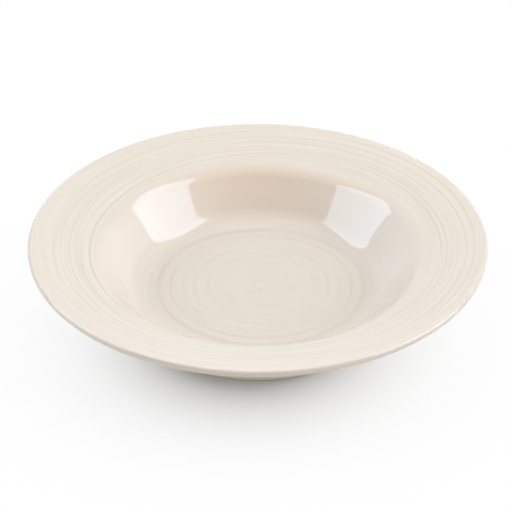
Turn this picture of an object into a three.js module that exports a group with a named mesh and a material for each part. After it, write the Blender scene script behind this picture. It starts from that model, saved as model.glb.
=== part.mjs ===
// A rim soup plate of glazed stoneware: one thrown clay body with a turned foot ring, and the coats of
// glaze that are fired onto it. The plate is round, so every piece is an outline turned about its axis.
// Millimetres, +Z up, with the origin on the table under the middle of the plate.
import * as THREE from "three";

// Overall sizes of the finished plate, with its glaze on.
const plateDiameter = 240;
const plateHeight = 45;

// The clay of the rim. Slopes are degrees above level, rising outwards.
const rimSlope = 15.5;
const rimUndersideSlope = 17.8; // steeper than the top, so that the rim thickens towards the well
const lipThickness = 2.8; // upright, at the edge of the rim
const lipRounding = 0.95;

// The clay of the well. Its mouth is where the rim and the wall would cross if they weren't rounded.
const mouthDiameter = 167.4;
const shoulderRounding = 12.7;
const wallSlope = 51;
const wallThickness = 4.6;
const wellRounding = 18.3; // between the wall and the floor
const floorThickness = 5.2;

// The clay of the foot, turned as a ring around a shallow recess.
const footDiameter = 134;
const footWidth = 6;
const recessDepth = 7;
const recessRounding = 3.3;
const footRounding = 4.3; // between the ring and the underside of the wall
const footEdgeRounding = 1;
const bareBand = 0.8; // wiped clean of glaze above the rounded edges that meet the table

// The glaze, and the gap at its bond that keeps it a solid of its own.
const glazeThickness = 0.3;
const bondGap = 0.02;

// How finely the turned shapes are faceted.
const turnSteps = 64;
const arcSag = 0.08; // the most that a facet leaves the arc it stands for
const arcShare = 0.9; // of a straight side, the most that the arcs at its ends take up

const { acos, ceil, cos, min, sin, tan, PI } = Math;
const { degToRad } = THREE.MathUtils;

const clayMaterial = new THREE.MeshStandardMaterial({
  color: 0xd2c4ae,
  roughness: 0.85,
  metalness: 0,
});
const faceMaterial = new THREE.MeshStandardMaterial({
  color: 0xe9e0d3,
  roughness: 0.1,
  metalness: 0,
});
const undersideMaterial = new THREE.MeshStandardMaterial({
  color: 0xe6dccd,
  roughness: 0.14,
  metalness: 0,
});
const recessMaterial = new THREE.MeshStandardMaterial({
  color: 0xe3d8c8,
  roughness: 0.18,
  metalness: 0,
});

// One corner of an outline: its distance from the axis, its height and how far it is rounded.
function corner(radius, height, rounding = 0) {
  return { at: new THREE.Vector2(radius, height), rounding };
}

// The length that an arc may take up of the side between two corners, which may both be rounded.
function roomOnSide(from, to) {
  const arcsOnSide = to.rounding > 0 ? 2 : 1;
  return (arcShare * from.at.distanceTo(to.at)) / arcsOnSide;
}

// The points of an outline whose corners are rounded with arcs, as far as their sides have room.
function roundedOutline(corners) {
  return corners.flatMap((here, i) => {
    if (here.rounding === 0) return [here.at];
    const [before, after] = [corners[i - 1], corners[i + 1]];
    const back = before.at.clone().sub(here.at).normalize();
    const ahead = after.at.clone().sub(here.at).normalize();
    const halfAngle = back.angleTo(ahead) / 2;
    const room = min(roomOnSide(here, before), roomOnSide(here, after));
    const radius = min(here.rounding, room * tan(halfAngle));
    const start = here.at.clone().addScaledVector(back, radius / tan(halfAngle));
    const bisector = back.clone().add(ahead).normalize();
    const centre = here.at.clone().addScaledVector(bisector, radius / sin(halfAngle));
    const sweep = PI - 2 * halfAngle;
    const side = back.cross(ahead) < 0 ? 1 : -1;
    const steps = ceil(sweep / (2 * acos(1 - arcSag / radius)));
    return Array.from({ length: steps + 1 }, (_, step) =>
      start.clone().rotateAround(centre, (side * sweep * step) / steps),
    );
  });
}

// The same stretch of outline moved outwards, square to each of its sides.
function movedOut(stretch, distance) {
  const normals = stretch.slice(1).map((point, i) => {
    const along = point.clone().sub(stretch[i]).normalize();
    return new THREE.Vector2(along.y, -along.x);
  });
  return stretch.map((point, i) => {
    const before = normals[i - 1] ?? normals[i];
    const after = normals[i] ?? normals[i - 1];
    const mitre = before.clone().add(after).divideScalar(1 + before.dot(after));
    return point.clone().addScaledVector(mitre, distance);
  });
}

// A named piece turned from an outline, which runs anticlockwise in radius and height.
function turnedPiece(name, outline, material) {
  const geometry = new THREE.LatheGeometry(outline, turnSteps);
  geometry.rotateX(PI / 2);
  const piece = new THREE.Mesh(geometry, material);
  piece.name = name;
  return piece;
}

// Slopes of the three straight stretches of the bowl, as rise over run.
const rimRise = tan(degToRad(rimSlope));
const undersideRise = tan(degToRad(rimUndersideSlope));
const wallRise = tan(degToRad(wallSlope));

// The clay's lip: the crown of its rounding carries the glaze up to the plate's full height.
const coatThickness = bondGap + glazeThickness;
const lipRadius = plateDiameter / 2 - coatThickness;
const crownDrop = lipRounding * (rimRise + 1 / cos(degToRad(rimSlope)) - 1);
const lipTop = plateHeight - coatThickness + crownDrop;
const lipBottom = lipTop - lipThickness;
const lipMiddle = (lipTop + lipBottom) / 2;

// The clay's well: its mouth on the slope of the rim, and the wall running down to the floor.
const mouthRadius = mouthDiameter / 2;
const mouthHeight = lipTop - (lipRadius - mouthRadius) * rimRise;
const floorHeight = recessDepth + floorThickness;
const floorRadius = mouthRadius - (mouthHeight - floorHeight) / wallRise;

// The clay's underside: the wall's outer face, from the foot ring up to the underside of the rim.
const footRadius = footDiameter / 2;
const recessRadius = footRadius - footWidth;
const glazeLine = footEdgeRounding + bareBand;
const outerWallRadius = floorRadius + wallThickness / sin(degToRad(wallSlope));
const footTop = floorHeight - (outerWallRadius - footRadius) * wallRise;
const underLipDrop = lipBottom - floorHeight - (lipRadius - outerWallRadius) * undersideRise;
const neckRadius = outerWallRadius + underLipDrop / (wallRise - undersideRise);
const neckHeight = lipBottom - (lipRadius - neckRadius) * undersideRise;
const neckRounding = shoulderRounding + wallThickness;

// The clay's outline in four stretches, from the middle of the recess round to the middle of the floor.
const recess = roundedOutline([
  corner(0, recessDepth),
  corner(recessRadius, recessDepth, recessRounding),
  corner(recessRadius, glazeLine),
]);
const bareFoot = roundedOutline([
  corner(recessRadius, glazeLine),
  corner(recessRadius, 0, footEdgeRounding),
  corner(footRadius, 0, footEdgeRounding),
  corner(footRadius, glazeLine),
]);
const underside = roundedOutline([
  corner(footRadius, glazeLine),
  corner(footRadius, footTop, footRounding),
  corner(neckRadius, neckHeight, neckRounding),
  corner(lipRadius, lipBottom, lipRounding),
  corner(lipRadius, lipMiddle),
]);
const face = roundedOutline([
  corner(lipRadius, lipMiddle),
  corner(lipRadius, lipTop, lipRounding),
  corner(mouthRadius, mouthHeight, shoulderRounding),
  corner(floorRadius, floorHeight, wellRounding),
  corner(0, floorHeight),
]);

// The body that is thrown, turned and fired: everything under the glaze, and the bare foot ring.
const clayOutline = [
  ...recess,
  ...bareFoot.slice(1),
  ...underside.slice(1),
  ...face.slice(1),
];

// The coats of glaze. Each runs along one stretch of the clay, from the bond out to its fired surface.
const faceOutline = [
  ...movedOut(face, bondGap).reverse(),
  ...movedOut(face, coatThickness),
];
const recessOutline = [
  ...movedOut(recess, coatThickness),
  ...movedOut(recess, bondGap).reverse(),
];
const undersideBand = [
  ...movedOut(underside, coatThickness),
  ...movedOut(underside, bondGap).reverse(),
];
const undersideOutline = [...undersideBand, undersideBand[0]];

const plate = new THREE.Group();
plate.add(
  turnedPiece("clay_body", clayOutline, clayMaterial),
  turnedPiece("face_glaze", faceOutline, faceMaterial),
  turnedPiece("underside_glaze", undersideOutline, undersideMaterial),
  turnedPiece("foot_recess_glaze", recessOutline, recessMaterial),
);

export default plate;
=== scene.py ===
import math

import bmesh
import bpy
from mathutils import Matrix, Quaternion, Vector, noise


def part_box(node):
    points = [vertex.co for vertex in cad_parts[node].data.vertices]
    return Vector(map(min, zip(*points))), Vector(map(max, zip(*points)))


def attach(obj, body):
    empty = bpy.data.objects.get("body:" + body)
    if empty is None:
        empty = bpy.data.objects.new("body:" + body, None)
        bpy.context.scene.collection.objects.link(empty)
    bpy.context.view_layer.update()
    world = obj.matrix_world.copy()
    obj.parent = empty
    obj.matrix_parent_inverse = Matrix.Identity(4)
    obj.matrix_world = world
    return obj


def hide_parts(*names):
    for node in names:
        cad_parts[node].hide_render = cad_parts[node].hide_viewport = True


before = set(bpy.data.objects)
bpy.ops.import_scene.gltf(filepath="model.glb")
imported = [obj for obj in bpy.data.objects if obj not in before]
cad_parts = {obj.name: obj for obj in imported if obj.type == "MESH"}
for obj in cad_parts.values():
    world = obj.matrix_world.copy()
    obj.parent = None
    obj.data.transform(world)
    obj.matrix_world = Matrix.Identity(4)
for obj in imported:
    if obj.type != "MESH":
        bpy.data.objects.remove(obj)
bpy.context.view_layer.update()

# Clay body: buff stoneware, thrown on the wheel in one piece and turned at the foot when leather hard.
# Glaze covers it except at the foot ring, which is wiped bare and rubbed smooth to stand on.
mm = 0.001
rim_slope = math.radians(15.5)
rim_underside_slope = math.radians(17.8)
wall_slope = math.radians(51)
lip_thickness = 2.8 * mm
lip_rounding = 0.95 * mm
mouth_radius = 83.7 * mm
shoulder_rounding = 12.7 * mm
wall_thickness = 4.6 * mm
well_rounding = 18.3 * mm
foot_width = 6 * mm
foot_rounding = 4.3 * mm
foot_edge_rounding = 1 * mm
recess_rounding = 3.3 * mm
bond_gap = 0.02 * mm
clay_spacing = 3 * mm
plain_arc_step = math.radians(3)
shortest_step = 0.1 * mm
sectors = 16
steps_in_sector = 16
seam_reach = 0.001 * mm
sharp_edge = math.radians(40)

lip_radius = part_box("clay_body")[1].x
lip_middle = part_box("underside_glaze")[1].z
lip_top = lip_middle + lip_thickness / 2
lip_bottom = lip_middle - lip_thickness / 2
mouth_height = lip_top - (lip_radius - mouth_radius) * math.tan(rim_slope)
floor_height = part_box("face_glaze")[0].z - bond_gap
floor_radius = mouth_radius - (mouth_height - floor_height) / math.tan(wall_slope)
recess_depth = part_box("foot_recess_glaze")[1].z + bond_gap
recess_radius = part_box("foot_recess_glaze")[1].x + bond_gap
foot_radius = recess_radius + foot_width
outer_wall_radius = floor_radius + wall_thickness / math.sin(wall_slope)
foot_top = floor_height - (outer_wall_radius - foot_radius) * math.tan(wall_slope)
neck_drop = lip_bottom - floor_height - (lip_radius - outer_wall_radius) * math.tan(rim_underside_slope)
neck_radius = outer_wall_radius + neck_drop / (math.tan(wall_slope) - math.tan(rim_underside_slope))
neck_height = lip_bottom - (lip_radius - neck_radius) * math.tan(rim_underside_slope)
neck_rounding = shoulder_rounding + wall_thickness


def draw_outline(mesh, last, corners, grow, spacing, arc_step=plain_arc_step):
    """Draws half the section of a turned piece: a line through corners of (radius, height, rounding).

    It starts at the vertex last, which moves to the first corner, and its new last vertex is returned.
    The line lies outside its corners by grow. Its straight sides are cut to the spacing and its arcs to
    the arc_step, but to nothing under the shortest step."""
    places = [Vector((radius, 0, height)) for radius, height, _ in corners]
    along = [(after - before).normalized() for before, after in zip(places, places[1:])]
    outward = [Vector((way.z, 0, -way.x)) for way in along]
    last.co = places[0] + outward[0] * grow
    for i, place in enumerate(places[1:]):
        line_ends = i == len(along) - 1
        turn = 0 if line_ends else along[i].angle(along[i + 1])
        rounding = corners[i + 1][2]
        side_end = place - along[i] * rounding * math.tan(turn / 2)
        side = side_end + outward[i] * grow - last.co
        steps = math.ceil(side.length / spacing)
        for _ in range(steps):
            before = last.co.copy()
            last = bmesh.ops.extrude_vert_indiv(mesh, verts=[last])["verts"][0]
            last.co = before + side / steps
        if turn:
            bulges = along[i].cross(along[i + 1]).y < 0
            centre = side_end - outward[i] * (rounding if bulges else -rounding)
            arc_steps = math.ceil(turn / max(arc_step, shortest_step / rounding))
            turned_about = (0, -1 if bulges else 1, 0)
            arc = bmesh.ops.spin(
                mesh, geom=[last], cent=centre, axis=turned_about, angle=turn, steps=arc_steps,
            )
            last = arc["geom_last"][0]
    return last


def turn_on_wheel(mesh):
    """Spins a drawn section round the axis of the plate, into a closed skin that faces outwards.

    One sector of the turn is spun in fine steps, and the rest is copies of it, which is much faster."""
    middle = (0, 0, 0)
    upright = (0, 0, 1)
    sector = math.tau / sectors
    section = mesh.verts[:] + mesh.edges[:]
    bmesh.ops.spin(mesh, geom=section, cent=middle, axis=upright, angle=sector, steps=steps_in_sector)
    first_sector = mesh.verts[:] + mesh.edges[:] + mesh.faces[:]
    bmesh.ops.spin(
        mesh, geom=first_sector, cent=middle, axis=upright,
        angle=math.tau - sector, steps=sectors - 1, use_duplicate=True,
    )
    bmesh.ops.remove_doubles(mesh, verts=mesh.verts[:], dist=seam_reach)
    bmesh.ops.recalc_face_normals(mesh, faces=mesh.faces[:])
    mesh.normal_update()


def add_piece(mesh, name, material, node):
    """Makes a turned mesh a smooth piece of the plate, in its material, in place of its CAD node."""
    for face in mesh.faces:
        face.smooth = True
    skin = bpy.data.meshes.new(name)
    mesh.to_mesh(skin)
    mesh.free()
    skin.set_sharp_from_angle(angle=sharp_edge)
    skin.materials.append(material)
    piece = bpy.data.objects.new(name, skin)
    bpy.context.scene.collection.objects.link(piece)
    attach(piece, "root")
    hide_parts(node)


def add_node(material, kind, inputs, **settings):
    """Adds a node with its settings, and sets or links its inputs. Its outputs are returned."""
    node = material.node_tree.nodes.new(kind)
    for name, value in settings.items():
        setattr(node, name, value)
    for socket, value in inputs.items():
        if isinstance(value, bpy.types.NodeSocket):
            material.node_tree.links.new(value, node.inputs[socket])
        else:
            node.inputs[socket].default_value = value
    return node.outputs


def linear(colour):
    """The linear RGBA of an sRGB hex colour."""
    shares = [int(colour[i : i + 2], 16) / 255 for i in (1, 3, 5)]
    return [s / 12.92 if s <= 0.04045 else ((s + 0.055) / 1.055) ** 2.4 for s in shares] + [1]


# Fired stoneware, rubbed smooth: a dry, pale buff skin, mottled by the fine grog in the clay.
stoneware = bpy.data.materials.new("bare_buff_stoneware")
stoneware.use_nodes = True
stoneware.node_tree.nodes.clear()
grog_size = 0.8 * mm
grog_relief = 0.1 * mm
driest, smoothest = 0.95, 0.75
clay_place = add_node(stoneware, "ShaderNodeTexCoord", {})["Object"]
grog = add_node(
    stoneware, "ShaderNodeTexNoise",
    {"Vector": clay_place, "Scale": 1 / grog_size, "Detail": 3, "Roughness": 0.6},
)["Fac"]
clay_colour = add_node(
    stoneware, "ShaderNodeMixRGB",
    {"Fac": grog, "Color1": linear("#DACDB8"), "Color2": linear("#F2EADC")},
)["Color"]
clay_relief = add_node(
    stoneware, "ShaderNodeBump", {"Height": grog, "Strength": 0.4, "Distance": grog_relief},
)["Normal"]
clay_dryness = add_node(
    stoneware, "ShaderNodeMapRange", {"Value": grog, "To Min": driest, "To Max": smoothest},
)["Result"]
bare_clay = add_node(
    stoneware, "ShaderNodeBsdfPrincipled",
    {"Base Color": clay_colour, "Normal": clay_relief, "Roughness": clay_dryness, "IOR": 1.5},
)["BSDF"]
add_node(stoneware, "ShaderNodeOutputMaterial", {"Surface": bare_clay})

clay = bmesh.new()
clay_start = bmesh.ops.create_vert(clay, co=(0, 0, recess_depth))["vert"][0]
clay_corners = [
    (0, recess_depth, 0),
    (recess_radius, recess_depth, recess_rounding),
    (recess_radius, 0, foot_edge_rounding),
    (foot_radius, 0, foot_edge_rounding),
    (foot_radius, foot_top, foot_rounding),
    (neck_radius, neck_height, neck_rounding),
    (lip_radius, lip_bottom, lip_rounding),
    (lip_radius, lip_top, lip_rounding),
    (mouth_radius, mouth_height, shoulder_rounding),
    (floor_radius, floor_height, well_rounding),
    (0, floor_height, 0),
]
draw_outline(clay, clay_start, clay_corners, grow=0, spacing=clay_spacing)
turn_on_wheel(clay)
add_piece(clay, "stoneware_body", stoneware, "clay_body")

# Face glaze: a glossy cream coat on the floor, the well, the rim and the upper half of the lip.
# It was laid on with a brush while the plate turned, so it keeps fine rings, a little off the plate's axis.
coat_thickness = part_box("face_glaze")[1].x - lip_radius
face_corners = [
    (lip_radius, lip_middle, 0),
    (lip_radius, lip_top, lip_rounding),
    (mouth_radius, mouth_height, shoulder_rounding),
    (floor_radius, floor_height, well_rounding),
    (0, floor_height, 0),
]
bond_spacing = 6 * mm
ring_spacing = 0.45 * mm
ring_arc_step = math.radians(2)
ring_relief = 0.08 * mm
brush_heading = Vector((0.74, 0.67))
# Each ring's radius, how far its middle is off the axis, and its width, in mm, and its share of the relief.
brush_rings = (
    (0, 2.5, 3, -0.7),
    (28.5, 2.5, 1.5, 0.3),
    (36, 2.5, 1.7, 0.3),
    (42, 2.5, 1.4, 0.28),
    (48.4, 2.5, 1.3, 0.6),
    (54.8, 2.5, 2.2, 0.6),
    (92.5, 5.5, 1.05, 0.6),
    (96.3, 4.2, 0.9, 0.35),
    (102, 4.2, 0.9, 0.5),
    (106.3, 4, 0.9, 0.45),
    (110.3, 4.4, 0.9, 0.35),
)
ring_reach = 3
ring_unevenness = 1.1
ring_drift = 2.2
bristle_offset = 4 * mm
# The spacing of the bristle marks, how soon they change round the plate, and their share of the relief.
bristle_marks = ((3.2 * mm, 1.2, 0.16), (1.4 * mm, 1.9, 0.36))
lip_swell = 0.2
lip_swell_start = 98 * mm


def brush_ridge(place):
    """How far the brush left the glaze proud of its mean, as a share of the relief of the rings.

    Each ring is a groove with the glaze pushed up beside it, uneven round the plate. Finer marks of the
    bristles lie between."""
    ridge = lip_swell * max(0, (place.xy.length - lip_swell_start) / (lip_radius - lip_swell_start))
    for radius, offset, width, depth in brush_rings:
        from_middle = place.xy - brush_heading * offset * mm
        across = (from_middle.length / mm - radius) / width
        if abs(across) < ring_reach:
            heading = from_middle.normalized() * ring_drift
            pressed = 1 + ring_unevenness * noise.noise((heading.x, heading.y, radius))
            ridge -= depth * pressed * (1 - 2 * across * across) * math.exp(-across * across)
    from_middle = place.xy - brush_heading * bristle_offset
    heading = from_middle.normalized()
    for spacing, drift, share in bristle_marks:
        sample = (from_middle.length / spacing, heading.x * drift, heading.y * drift)
        ridge += share * noise.noise(sample)
    return ridge


# Inside this radius round the brush's middle, the floor of the well is a shade darker and greyer.
darker_floor_edge = 56 * mm
darker_floor_fade = 6 * mm
# Painted shade: the steep wall and its shoulder on the +y side get a warmer, darker cream, for the shade
# that lies there.
shaded_heading = Vector((0, 1))
shade_sharpness = 4
wall_shade_share = 0.5
shoulder_shade_radius = 85 * mm
shoulder_shade_width = 4 * mm
shoulder_shade_share = 0.35
floor_band = 52 * mm
floor_band_width = 5 * mm
floor_thin_share = 0.12
# Painted shade: the lip darkens towards its outer edge, for the shade on its front.
lip_shade_most = 1.5


def painted_lip_shade(place):
    """How much painted shade lies on the lip, from none inside its rounding to the most at its outer edge.
    """
    return lip_shade_most * min(1, max(0, 1 - (lip_radius - place.xy.length) / lip_rounding))


def thin_glaze_and_shade(place, steepness):
    """How thin the glaze lies at the floor's edge, plus the share of painted warm shade on the +y wall and
    shoulder.
    """
    shaded_side = max(0, place.xy.normalized().dot(shaded_heading)) ** shade_sharpness
    over_shoulder = (place.xy.length - shoulder_shade_radius) / shoulder_shade_width
    round_floor = ((place.xy - brush_heading * bristle_offset).length - floor_band) / floor_band_width
    return (
        wall_shade_share * steepness * shaded_side
        + shoulder_shade_share * math.exp(-over_shoulder * over_shoulder) * shaded_side
        + floor_thin_share * math.exp(-round_floor * round_floor)
    )


face = bmesh.new()
fired = face.verts.layers.float.new("fired_surface")
ridges = face.verts.layers.float.new("ridge")
steepness = face.verts.layers.float.new("steepness")
thin_and_shaded = face.verts.layers.float.new("thin_and_shaded")
darker_floor_and_lip_shade = face.verts.layers.float.new("darker_floor_and_lip_shade")
bond_start = bmesh.ops.create_vert(face, co=(lip_radius, 0, lip_middle))["vert"][0]
surface_start = bmesh.ops.extrude_vert_indiv(face, verts=[bond_start])["verts"][0]
surface_start[fired] = 1
draw_outline(face, bond_start, face_corners, bond_gap, bond_spacing)
draw_outline(face, surface_start, face_corners, coat_thickness, ring_spacing, ring_arc_step)
turn_on_wheel(face)
for vert in face.verts:
    if vert[fired]:
        vert[ridges] = brush_ridge(vert.co)
        vert[steepness] = min(1, (1 - vert.normal.z) / (1 - math.cos(wall_slope)))
        vert[thin_and_shaded] = thin_glaze_and_shade(vert.co, vert[steepness])
        # The floor's darker share, and the painted shade on the lip.
        from_middle = (vert.co.xy - brush_heading * bristle_offset).length
        on_floor = min(1, max(0, (darker_floor_edge + darker_floor_fade - from_middle) / darker_floor_fade))
        vert[darker_floor_and_lip_shade] = max(on_floor, painted_lip_shade(vert.co))
        vert.co += vert.normal * vert[ridges] * ring_relief * (1 - vert[steepness])

# Zircon cream glaze, fired glossy: pale on the ridges, greyer and less glossy in the brush marks, and
# warmer where it lies thin at the floor's edge. It is darker and greyer over the floor of the well, with
# painted warm shade on the +y wall and shoulder and painted shade on the lip. Bristle marks are drawn
# coarser than real ones, to show.
face_glaze = bpy.data.materials.new("cream_zircon_glaze_brushed")
face_glaze.use_nodes = True
face_glaze.node_tree.nodes.clear()
cloud_size = 28 * mm
cloud_start, cloud_full, cloud_most = 0.35, 0.75, 0.25
groove_level, ridge_level = -1, 0.6
groove_roughness, ridge_roughness = 0.08, 0.03
darkening_most = 0.55
ripple_size = 7 * mm
ripple_relief = 0.06 * mm
ridge_height = add_node(face_glaze, "ShaderNodeAttribute", {}, attribute_name="ridge")["Fac"]
brushed = add_node(
    face_glaze, "ShaderNodeMapRange",
    {"Value": ridge_height, "From Min": groove_level, "From Max": ridge_level},
)["Result"]
brushed_colour = add_node(
    face_glaze, "ShaderNodeMixRGB",
    {"Fac": brushed, "Color1": linear("#D6CBBC"), "Color2": linear("#EFE4D6")},
)["Color"]
face_place = add_node(face_glaze, "ShaderNodeTexCoord", {})["Object"]
clouds = add_node(
    face_glaze, "ShaderNodeTexNoise",
    {"Vector": face_place, "Scale": 1 / cloud_size, "Detail": 2, "Roughness": 0.5},
)["Fac"]
cloud_share = add_node(
    face_glaze, "ShaderNodeMapRange",
    {"Value": clouds, "From Min": cloud_start, "From Max": cloud_full, "To Max": cloud_most},
)["Result"]
face_colour = add_node(
    face_glaze, "ShaderNodeMixRGB",
    {"Fac": cloud_share, "Color1": brushed_colour, "Color2": linear("#E3D5C6")},
)["Color"]
steep = add_node(face_glaze, "ShaderNodeAttribute", {}, attribute_name="steepness")["Fac"]
wall_colour = add_node(
    face_glaze, "ShaderNodeMixRGB",
    {"Fac": steep, "Color1": face_colour, "Color2": linear("#EBE1D6")},
)["Color"]
# Warmer, darker cream: real thin glaze at the floor's edge, and painted shade on the +y wall and shoulder.
thin_and_shaded_share = add_node(face_glaze, "ShaderNodeAttribute", {}, attribute_name="thin_and_shaded")["Fac"]
thin_and_shaded_colour = add_node(
    face_glaze, "ShaderNodeMixRGB",
    {"Fac": thin_and_shaded_share, "Color1": wall_colour, "Color2": linear("#E6CCB3")},
)["Color"]
# A darker, greyer cream over the floor of the well, and painted shade on the lip.
floor_and_lip_darkening = add_node(face_glaze, "ShaderNodeAttribute", {}, attribute_name="darker_floor_and_lip_shade")["Fac"]
darkening_share = add_node(
    face_glaze, "ShaderNodeMath", {0: floor_and_lip_darkening, 1: darkening_most}, operation="MULTIPLY",
)["Value"]
darkened_colour = add_node(
    face_glaze, "ShaderNodeMixRGB",
    {"Fac": darkening_share, "Color1": thin_and_shaded_colour, "Color2": linear("#D9CEC2")},
)["Color"]
face_gloss = add_node(
    face_glaze, "ShaderNodeMapRange",
    {
        "Value": ridge_height, "From Min": groove_level, "From Max": ridge_level,
        "To Min": groove_roughness, "To Max": ridge_roughness,
    },
)["Result"]
ripples = add_node(
    face_glaze, "ShaderNodeTexNoise",
    {"Vector": face_place, "Scale": 1 / ripple_size, "Detail": 1, "Roughness": 0.4},
)["Fac"]
face_ripple = add_node(
    face_glaze, "ShaderNodeBump", {"Height": ripples, "Strength": 0.5, "Distance": ripple_relief},
)["Normal"]
fired_face = add_node(
    face_glaze, "ShaderNodeBsdfPrincipled",
    {"Base Color": darkened_colour, "Normal": face_ripple, "Roughness": face_gloss, "IOR": 1.7},
)["BSDF"]
add_node(face_glaze, "ShaderNodeOutputMaterial", {"Surface": fired_face})
add_piece(face, "brushed_face_glaze", face_glaze, "face_glaze")

# Underside glaze: the coat on the lower half of the lip, under the rim and down the outside of the wall.
# The plate was dipped for it, and the foot wiped afterwards, which left a slightly wavering glaze line.
glaze_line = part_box("underside_glaze")[0].z
underside_corners = [
    (foot_radius, glaze_line, 0),
    (foot_radius, foot_top, foot_rounding),
    (neck_radius, neck_height, neck_rounding),
    (lip_radius, lip_bottom, lip_rounding),
    (lip_radius, lip_middle, 0),
]
glaze_line_waver = 0.35 * mm
glaze_line_reach = 1.2 * mm
waver_drift = 3
dip_spacing = 1 * mm
turning_spacing = 2.4 * mm
turning_drift = 0.8
turning_relief = 0.07 * mm


def turning_ridge(place):
    """How far the turning tool left the clay proud under the glaze, in fine rings round the axis."""
    heading = place.xy.normalized() * turning_drift
    return noise.noise(((place.xy.length + place.z) / turning_spacing, heading.x, heading.y))


underside = bmesh.new()
dip_fired = underside.verts.layers.float.new("fired_surface")
turned = underside.verts.layers.float.new("ridge")
underside_lip_shade = underside.verts.layers.float.new("darker_floor_and_lip_shade")
dip_start = bmesh.ops.create_vert(underside, co=(foot_radius, 0, glaze_line))["vert"][0]
dip_surface_start = bmesh.ops.extrude_vert_indiv(underside, verts=[dip_start])["verts"][0]
dip_surface_start[dip_fired] = 1
dip_end = draw_outline(underside, dip_start, underside_corners, bond_gap, bond_spacing)
dip_surface_end = draw_outline(underside, dip_surface_start, underside_corners, coat_thickness, dip_spacing)
bmesh.ops.contextual_create(underside, geom=[dip_end, dip_surface_end])
turn_on_wheel(underside)
for vert in underside.verts:
    vert[turned] = vert[dip_fired] * turning_ridge(vert.co)
    vert.co += vert.normal * vert[turned] * turning_relief
    heading = vert.co.xy.normalized() * waver_drift
    share = max(0, 1 - (vert.co.z - glaze_line) / glaze_line_reach)
    vert.co.z += share * glaze_line_waver * noise.noise((heading.x, heading.y, 0))
    vert[underside_lip_shade] = painted_lip_shade(vert.co)

# The same cream glaze, dipped: even in colour, with small clouds where it ran, greyer in the turning rings,
# and with darker painted shade on the lip.
dipped_glaze = bpy.data.materials.new("cream_zircon_glaze_dipped")
dipped_glaze.use_nodes = True
dipped_glaze.node_tree.nodes.clear()
run_size = 12 * mm
run_relief = 0.1 * mm
turning_start, turning_full, turning_tint = 0.1, -0.6, 0.5
thin_roughness, thick_roughness = 0.12, 0.04
dipped_place = add_node(dipped_glaze, "ShaderNodeTexCoord", {})["Object"]
runs = add_node(
    dipped_glaze, "ShaderNodeTexNoise",
    {"Vector": dipped_place, "Scale": 1 / run_size, "Detail": 3, "Roughness": 0.55},
)["Fac"]
dipped_colour = add_node(
    dipped_glaze, "ShaderNodeMixRGB",
    {"Fac": runs, "Color1": linear("#EAE0D3"), "Color2": linear("#F3ECE2")},
)["Color"]
dip_ridge = add_node(dipped_glaze, "ShaderNodeAttribute", {}, attribute_name="ridge")["Fac"]
turning_groove = add_node(
    dipped_glaze, "ShaderNodeMapRange",
    {"Value": dip_ridge, "From Min": turning_start, "From Max": turning_full, "To Max": turning_tint},
)["Result"]
turned_colour = add_node(
    dipped_glaze, "ShaderNodeMixRGB",
    {"Fac": turning_groove, "Color1": dipped_colour, "Color2": linear("#DACFC1")},
)["Color"]
# Painted shade on the lower half of the lip.
dip_lip_shade = add_node(dipped_glaze, "ShaderNodeAttribute", {}, attribute_name="darker_floor_and_lip_shade")["Fac"]
dip_lip_shade_share = add_node(
    dipped_glaze, "ShaderNodeMath", {0: dip_lip_shade, 1: darkening_most}, operation="MULTIPLY",
)["Value"]
dip_colour = add_node(
    dipped_glaze, "ShaderNodeMixRGB",
    {"Fac": dip_lip_shade_share, "Color1": turned_colour, "Color2": linear("#DACAB7")},
)["Color"]
dip_ripple = add_node(
    dipped_glaze, "ShaderNodeBump", {"Height": runs, "Strength": 0.5, "Distance": run_relief},
)["Normal"]
dip_gloss = add_node(
    dipped_glaze, "ShaderNodeMapRange",
    {"Value": runs, "To Min": thin_roughness, "To Max": thick_roughness},
)["Result"]
fired_dip = add_node(
    dipped_glaze, "ShaderNodeBsdfPrincipled",
    {"Base Color": dip_colour, "Normal": dip_ripple, "Roughness": dip_gloss, "IOR": 1.7},
)["BSDF"]
add_node(dipped_glaze, "ShaderNodeOutputMaterial", {"Surface": fired_dip})
add_piece(underside, "dipped_underside_glaze", dipped_glaze, "underside_glaze")

# Foot recess glaze: a disc of the same dipped glaze, in the recess that was turned out of the base.
# The wiped foot ring parts it from the glaze outside.
recess_corners = [
    (0, recess_depth, 0),
    (recess_radius, recess_depth, recess_rounding),
    (recess_radius, glaze_line, 0),
]
recess = bmesh.new()
recess_fired = recess.verts.layers.float.new("fired_surface")
recess_turned = recess.verts.layers.float.new("ridge")
recess_start = bmesh.ops.create_vert(recess, co=(0, 0, recess_depth))["vert"][0]
recess_end = draw_outline(recess, recess_start, recess_corners, bond_gap, bond_spacing)
recess_surface_start = bmesh.ops.create_vert(recess, co=(0, 0, recess_depth))["vert"][0]
recess_surface_start[recess_fired] = 1
recess_surface_end = draw_outline(recess, recess_surface_start, recess_corners, coat_thickness, dip_spacing)
bmesh.ops.contextual_create(recess, geom=[recess_end, recess_surface_end])
turn_on_wheel(recess)
for vert in recess.verts:
    vert[recess_turned] = vert[recess_fired] * turning_ridge(vert.co)
    vert.co += vert.normal * vert[recess_turned] * turning_relief
add_piece(recess, "dipped_recess_glaze", dipped_glaze, "foot_recess_glaze")

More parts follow.
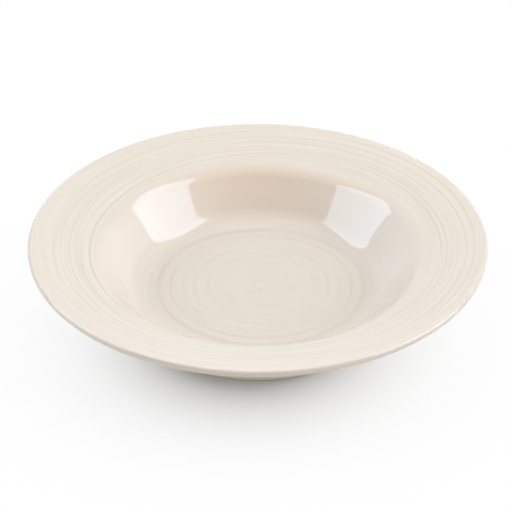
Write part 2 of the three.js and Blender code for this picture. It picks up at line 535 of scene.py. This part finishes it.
# Table: a wide sheet of matt white card that the plate stands on. It keeps the plate's soft shadow, and
# round it is as white as the backdrop. Further off at the sides it dims to a pale grey, so that the rim
# stands out where it mirrors a softbox.
table_reach = 3
shadow_middle = Vector((-5, -24, 0)) * mm
shadow_start = 46 * mm
shadow_fade = 26.5 * mm
lit_shape = Vector((1, 0.3, 1))
lit_reach = 0.2
dim_reach = 0.36
far_white = "#EEEDEB"
table_mesh = bmesh.new()
bmesh.ops.create_grid(table_mesh, x_segments=1, y_segments=1, size=table_reach)
table_skin = bpy.data.meshes.new("white_table")
table_mesh.to_mesh(table_skin)
table_mesh.free()
white_card = bpy.data.materials.new("matt_white_card")
white_card.use_nodes = True
white_card.node_tree.nodes.clear()
ray = add_node(white_card, "ShaderNodeLightPath", {})
seen_or_mirrored = add_node(
    white_card, "ShaderNodeMath",
    {0: ray["Is Camera Ray"], 1: ray["Is Glossy Ray"]},
    operation="ADD", use_clamp=True,
)["Value"]
seen = add_node(
    white_card, "ShaderNodeMath",
    {0: seen_or_mirrored, 1: ray["Is Transmission Ray"]},
    operation="ADD", use_clamp=True,
)["Value"]
card_place = add_node(white_card, "ShaderNodeTexCoord", {})["Object"]
from_shadow = add_node(
    white_card, "ShaderNodeVectorMath", {0: card_place, 1: shadow_middle}, operation="DISTANCE",
)["Value"]
past_shadow = add_node(
    white_card, "ShaderNodeMath", {0: shadow_start, 1: from_shadow}, operation="SUBTRACT",
)["Value"]
fades = add_node(
    white_card, "ShaderNodeMath", {0: past_shadow, 1: shadow_fade}, operation="DIVIDE",
)["Value"]
shadow_share = add_node(white_card, "ShaderNodeMath", {0: fades}, operation="EXPONENT")["Value"]
whiteness = add_node(
    white_card, "ShaderNodeMath", {0: 1, 1: shadow_share}, operation="SUBTRACT", use_clamp=True,
)["Value"]
backdrop_share = add_node(
    white_card, "ShaderNodeMath", {0: seen, 1: whiteness}, operation="MULTIPLY",
)["Value"]
card_surface = add_node(white_card, "ShaderNodeBsdfDiffuse", {"Color": linear("#DADADA")})["BSDF"]
light_place = add_node(
    white_card, "ShaderNodeVectorMath", {0: card_place, 1: lit_shape}, operation="MULTIPLY",
)["Vector"]
from_light = add_node(white_card, "ShaderNodeVectorMath", {0: light_place}, operation="LENGTH")["Value"]
dimming = add_node(
    white_card, "ShaderNodeMapRange",
    {"Value": from_light, "From Min": lit_reach, "From Max": dim_reach},
    interpolation_type="SMOOTHSTEP",
)["Result"]
card_glow = add_node(
    white_card, "ShaderNodeMixRGB",
    {"Fac": dimming, "Color1": linear("#FFFFFF"), "Color2": linear(far_white)},
)["Color"]
card_white = add_node(white_card, "ShaderNodeEmission", {"Color": card_glow, "Strength": 1})["Emission"]
card_mix = add_node(
    white_card, "ShaderNodeMixShader", {"Fac": backdrop_share, 1: card_surface, 2: card_white},
)["Shader"]
add_node(white_card, "ShaderNodeOutputMaterial", {"Surface": card_mix})
table_skin.materials.append(white_card)
table = bpy.data.objects.new("white_table", table_skin)
bpy.context.scene.collection.objects.link(table)

# Studio light: a tall softbox to the right, a broad one to the left, and a low white card in front that
# throws light under the rim. Each softbox has a cool pane, which the well mirrors as a bright window, and
# a warm lamp a little behind it, which lights the plate but doesn't show in the glaze.
layer_gap = 20 * mm
# The side it stands on, its middle and size in metres, its turn, tilt and lean, and its layers of light.
softboxes = (
    (
        "softbox_right", 1, Vector((0.93, -0.07, 1.03)), (1.125, 1.57), (-17.9, 8, -27.6),
        ((2.85, "#D7E8FF"), (1.5, "#FFE6BC")),
    ),
    (
        "softbox_left", -1, Vector((-1.33, -0.06, 1.23)), (1.8, 1.61), (-31.3, -4.5, 32.7),
        ((2.6, "#D3E8FF"), (1.1, "#FFE7C3")),
    ),
    ("front_card", 1, Vector((0, -1.1, 0.2)), (1.6, 0.36), (90, 0, 0), ((0.8, "#FFFFFF"),)),
)
for name, side, middle, (width, height), angles, layers in softboxes:
    turn, tilt, lean = [math.radians(angle) for angle in angles]
    sideways = side * math.cos(turn) * math.cos(tilt)
    facing = Vector((sideways, -math.sin(turn) * math.cos(tilt), math.sin(tilt)))
    for depth, (glow, tint) in enumerate(layers):
        pane = bpy.data.lights.new(name, "AREA")
        pane.shape = "RECTANGLE"
        pane.size = width
        pane.size_y = height
        pane.energy = glow * math.pi * width * height
        pane.color = linear(tint)[:3]
        softbox = bpy.data.objects.new(name, pane)
        softbox.rotation_mode = "QUATERNION"
        softbox.rotation_quaternion = facing.to_track_quat("Z", "Y") @ Quaternion((0, 0, 1), lean)
        softbox.location = middle + facing * depth * layer_gap
        softbox.visible_camera = False
        softbox.visible_glossy = depth == 0
        bpy.context.scene.collection.objects.link(softbox)

# Pale room: its light on the plate is even, and the backdrop that the glaze mirrors is white behind it.
bright_side = (0.45, 0.89, 0)
darkest_side, whitest_side = -0.8, 0.4
room = bpy.data.worlds.new("pale_room")
room.use_nodes = True
room.node_tree.nodes.clear()
room_ray = add_node(room, "ShaderNodeLightPath", {})
mirrored = add_node(
    room, "ShaderNodeMath",
    {0: room_ray["Is Glossy Ray"], 1: room_ray["Is Transmission Ray"]},
    operation="ADD", use_clamp=True,
)["Value"]
room_way = add_node(room, "ShaderNodeTexCoord", {})["Generated"]
room_side = add_node(
    room, "ShaderNodeVectorMath", {0: room_way, 1: bright_side}, operation="DOT_PRODUCT",
)["Value"]
room_backness = add_node(
    room, "ShaderNodeMapRange",
    {"Value": room_side, "From Min": darkest_side, "From Max": whitest_side},
)["Result"]
backdrop_glow = add_node(
    room, "ShaderNodeMixRGB",
    {"Fac": room_backness, "Color1": linear("#101010"), "Color2": linear("#FFFFFF")},
)["Color"]
glow_behind = add_node(
    room, "ShaderNodeMixRGB", {"Fac": mirrored, "Color1": linear("#9A9996"), "Color2": backdrop_glow},
)["Color"]
room_seen = add_node(
    room, "ShaderNodeMixRGB",
    {"Fac": room_ray["Is Camera Ray"], "Color1": glow_behind, "Color2": linear(far_white)},
)["Color"]
room_light = add_node(room, "ShaderNodeBackground", {"Color": room_seen, "Strength": 1})["Background"]
add_node(room, "ShaderNodeOutputWorld", {"Surface": room_light})
bpy.context.scene.world = room

# Camera: a long lens, a metre from the plate, looking down into the well.
camera_distance = 1
camera_elevation = math.radians(32.587)
aim = Vector((-0.83, 0, 32.09)) * mm
rim_middle = Vector((0, 0, 45)) * mm
lens = bpy.data.cameras.new("photo_camera")
lens.sensor_width = 36
lens.lens = 134.195
camera = bpy.data.objects.new("photo_camera", lens)
camera_side = Vector((0, -math.cos(camera_elevation), math.sin(camera_elevation)))
camera.location = rim_middle + camera_side * camera_distance
camera.rotation_euler = (aim - camera.location).to_track_quat("-Z", "Y").to_euler()
bpy.context.scene.collection.objects.link(camera)
bpy.context.scene.camera = camera

bpy.context.scene.view_settings.view_transform = "Standard"
# Light skims round the glossy wall of the well many times, and fewer bounces leave dark dashes there.
bpy.context.scene.cycles.glossy_bounces = 12
